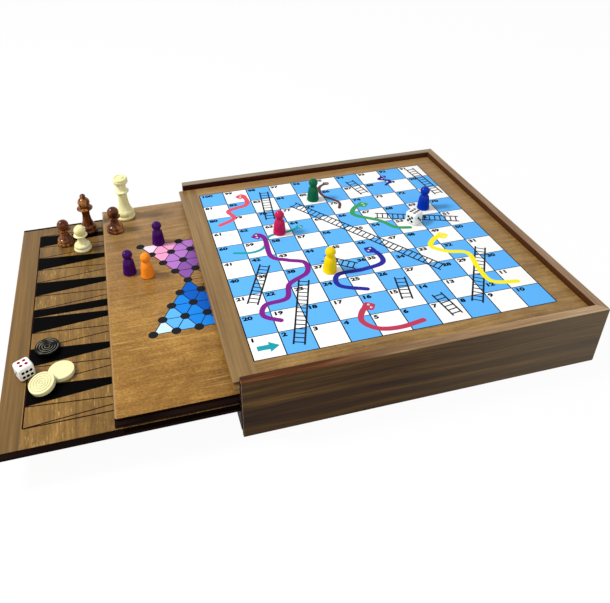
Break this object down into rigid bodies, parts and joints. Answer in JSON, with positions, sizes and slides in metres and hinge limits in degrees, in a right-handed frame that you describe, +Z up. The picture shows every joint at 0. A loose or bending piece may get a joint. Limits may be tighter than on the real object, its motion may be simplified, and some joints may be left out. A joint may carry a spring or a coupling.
{
  "type": "games compendium box",
  "caption": "Shallow wooden games box with low recessed lid and two more sliding playing boards pulled out of its open end, playing pieces on the boards and more in the divided storage floor.",
  "frame": {"origin": "centre of the box's underside", "axes": "+Z up, -X towards the open end where the boards pull out, +Y towards the back wall"},
  "size_m": [0.4616, 0.299, 0.0837],
  "materials": {
    "walnut_wall": "stained and varnished, strong streaky grain",
    "base_ply": "plain ply, unvarnished",
    "divider_wood": "stained, matt",
    "board_wood": "olive tan stain under gloss varnish",
    "chess_brown": "turned, red-brown stain, gloss lacquer",
    "chess_cream": "turned, cream lacquer",
    "plastic_yellow": "gloss",
    "plastic_red": "gloss",
    "plastic_green": "gloss",
    "plastic_blue": "gloss",
    "plastic_orange": "gloss",
    "plastic_purple": "gloss",
    "draught_black": "gloss",
    "draught_cream": "semi-gloss",
    "die_white": "gloss, painted pips"
  },
  "bodies": {
    "box": {"front_wall": "walnut_wall", "back_wall": "walnut_wall", "right_wall": "walnut_wall", "left_wall": "walnut_wall", "base_panel": "base_ply", "long_divider": "divider_wood", "front_divider": "divider_wood", "back_divider": "divider_wood", "king_brown_stored": "chess_brown", "rooks_brown_stored": "chess_brown", "knights_brown_stored": "chess_brown", "bishops_brown_stored": "chess_brown", "queen_brown_stored": "chess_brown", "chess_pawns_brown_stored": "chess_brown", "king_cream_stored": "chess_cream", "rooks_cream_stored": "chess_cream", "knights_cream_stored": "chess_cream", "bishops_cream_stored": "chess_cream", "chess_pawns_cream_stored": "chess_cream", "pawns_yellow_stored": "plastic_yellow", "pawns_red_stored": "plastic_red", "pawns_green_stored": "plastic_green", "pawns_blue_stored": "plastic_blue", "pawns_orange_stored": "plastic_orange", "pawns_purple_stored": "plastic_purple", "draughts_black_stored": "draught_black", "draughts_cream_stored": "draught_cream"},
    "snakes_lid": {"snakes_lid": "board_wood"},
    "checkers_board": {"checkers_board": "board_wood"},
    "backgammon_board": {"backgammon_board": "board_wood"},
    "pawn_yellow": {"pawn_yellow": "plastic_yellow"},
    "pawn_red": {"pawn_red": "plastic_red"},
    "pawn_green": {"pawn_green": "plastic_green"},
    "pawn_blue": {"pawn_blue": "plastic_blue"},
    "die_a": {"die_a": "die_white"},
    "pawn_purple_a": {"pawn_purple_a": "plastic_purple"},
    "pawn_purple_b": {"pawn_purple_b": "plastic_purple"},
    "pawn_orange": {"pawn_orange": "plastic_orange"},
    "chess_pawn_brown_a": {"chess_pawn_brown_a": "chess_brown"},
    "queen_cream": {"queen_cream": "chess_cream"},
    "chess_pawn_brown_b": {"chess_pawn_brown_b": "chess_brown"},
    "chess_pawn_cream": {"chess_pawn_cream": "chess_cream"},
    "bishop_brown": {"bishop_brown": "chess_brown"},
    "draught_black": {"draught_black": "draught_black"},
    "draught_cream_flat": {"draught_cream_flat": "draught_cream"},
    "draught_cream_leaning": {"draught_cream_leaning": "draught_cream"},
    "die_b": {"die_b": "die_white"}
  },
  "joints": [
    {"name": "lid_slide", "type": "slide", "parent": "box", "child": "snakes_lid", "axis": [-1, 0, 0], "range_m": [0, 0.289]},
    {"name": "checkers_slide", "type": "slide", "parent": "snakes_lid", "child": "checkers_board", "axis": [-1, 0, 0], "range_m": [-0.0829, 0]},
    {"name": "backgammon_slide", "type": "slide", "parent": "checkers_board", "child": "backgammon_board", "axis": [-1, 0, 0], "range_m": [-0.0813, 0]},
    {"name": "pawn_yellow_lift", "type": "slide", "parent": "snakes_lid", "child": "pawn_yellow", "axis": [0, 0, 1], "range_m": [0, 0.06]},
    {"name": "pawn_red_lift", "type": "slide", "parent": "snakes_lid", "child": "pawn_red", "axis": [0, 0, 1], "range_m": [0, 0.06]},
    {"name": "pawn_green_lift", "type": "slide", "parent": "snakes_lid", "child": "pawn_green", "axis": [0, 0, 1], "range_m": [0, 0.06]},
    {"name": "pawn_blue_lift", "type": "slide", "parent": "snakes_lid", "child": "pawn_blue", "axis": [0, 0, 1], "range_m": [0, 0.06]},
    {"name": "die_a_lift", "type": "slide", "parent": "snakes_lid", "child": "die_a", "axis": [0, 0, 1], "range_m": [0, 0.06]},
    {"name": "pawn_purple_a_lift", "type": "slide", "parent": "checkers_board", "child": "pawn_purple_a", "axis": [0, 0, 1], "range_m": [0, 0.0625]},
    {"name": "pawn_purple_b_lift", "type": "slide", "parent": "checkers_board", "child": "pawn_purple_b", "axis": [0, 0, 1], "range_m": [0, 0.0625]},
    {"name": "pawn_orange_lift", "type": "slide", "parent": "checkers_board", "child": "pawn_orange", "axis": [0, 0, 1], "range_m": [0, 0.0625]},
    {"name": "chess_pawn_brown_a_lift", "type": "slide", "parent": "checkers_board", "child": "chess_pawn_brown_a", "axis": [0, 0, 1], "range_m": [0, 0.0625]},
    {"name": "queen_cream_lift", "type": "slide", "parent": "checkers_board", "child": "queen_cream", "axis": [0, 0, 1], "range_m": [0, 0.0625]},
    {"name": "chess_pawn_brown_b_lift", "type": "slide", "parent": "checkers_board", "child": "chess_pawn_brown_b", "axis": [0, 0, 1], "range_m": [0, 0.062]},
    {"name": "chess_pawn_cream_lift", "type": "slide", "parent": "checkers_board", "child": "chess_pawn_cream", "axis": [0, 0, 1], "range_m": [0, 0.062]},
    {"name": "bishop_brown_lift", "type": "slide", "parent": "checkers_board", "child": "bishop_brown", "axis": [0, 0, 1], "range_m": [0, 0.062]},
    {"name": "draught_black_lift", "type": "slide", "parent": "checkers_board", "child": "draught_black", "axis": [0, 0, 1], "range_m": [0, 0.062]},
    {"name": "draught_cream_flat_lift", "type": "slide", "parent": "checkers_board", "child": "draught_cream_flat", "axis": [0, 0, 1], "range_m": [0, 0.062]},
    {"name": "draught_cream_leaning_lift", "type": "slide", "parent": "checkers_board", "child": "draught_cream_leaning", "axis": [0, 0, 1], "range_m": [0, 0.062]},
    {"name": "die_b_lift", "type": "slide", "parent": "checkers_board", "child": "die_b", "axis": [0, 0, 1], "range_m": [0, 0.062]}
  ],
  "couplings": [
    {"joint": "pawn_purple_a_lift", "follows": "checkers_slide", "ratio": -0.75},
    {"joint": "pawn_purple_b_lift", "follows": "checkers_slide", "ratio": -0.75},
    {"joint": "pawn_orange_lift", "follows": "checkers_slide", "ratio": -0.75},
    {"joint": "chess_pawn_brown_a_lift", "follows": "checkers_slide", "ratio": -0.75},
    {"joint": "queen_cream_lift", "follows": "checkers_slide", "ratio": -0.75},
    {"joint": "chess_pawn_brown_b_lift", "follows": "backgammon_slide", "ratio": -0.75},
    {"joint": "chess_pawn_cream_lift", "follows": "backgammon_slide", "ratio": -0.75},
    {"joint": "bishop_brown_lift", "follows": "backgammon_slide", "ratio": -0.75},
    {"joint": "draught_black_lift", "follows": "backgammon_slide", "ratio": -0.75},
    {"joint": "draught_cream_flat_lift", "follows": "backgammon_slide", "ratio": -0.75},
    {"joint": "draught_cream_leaning_lift", "follows": "backgammon_slide", "ratio": -0.75},
    {"joint": "die_b_lift", "follows": "backgammon_slide", "ratio": -0.75}
  ]
}
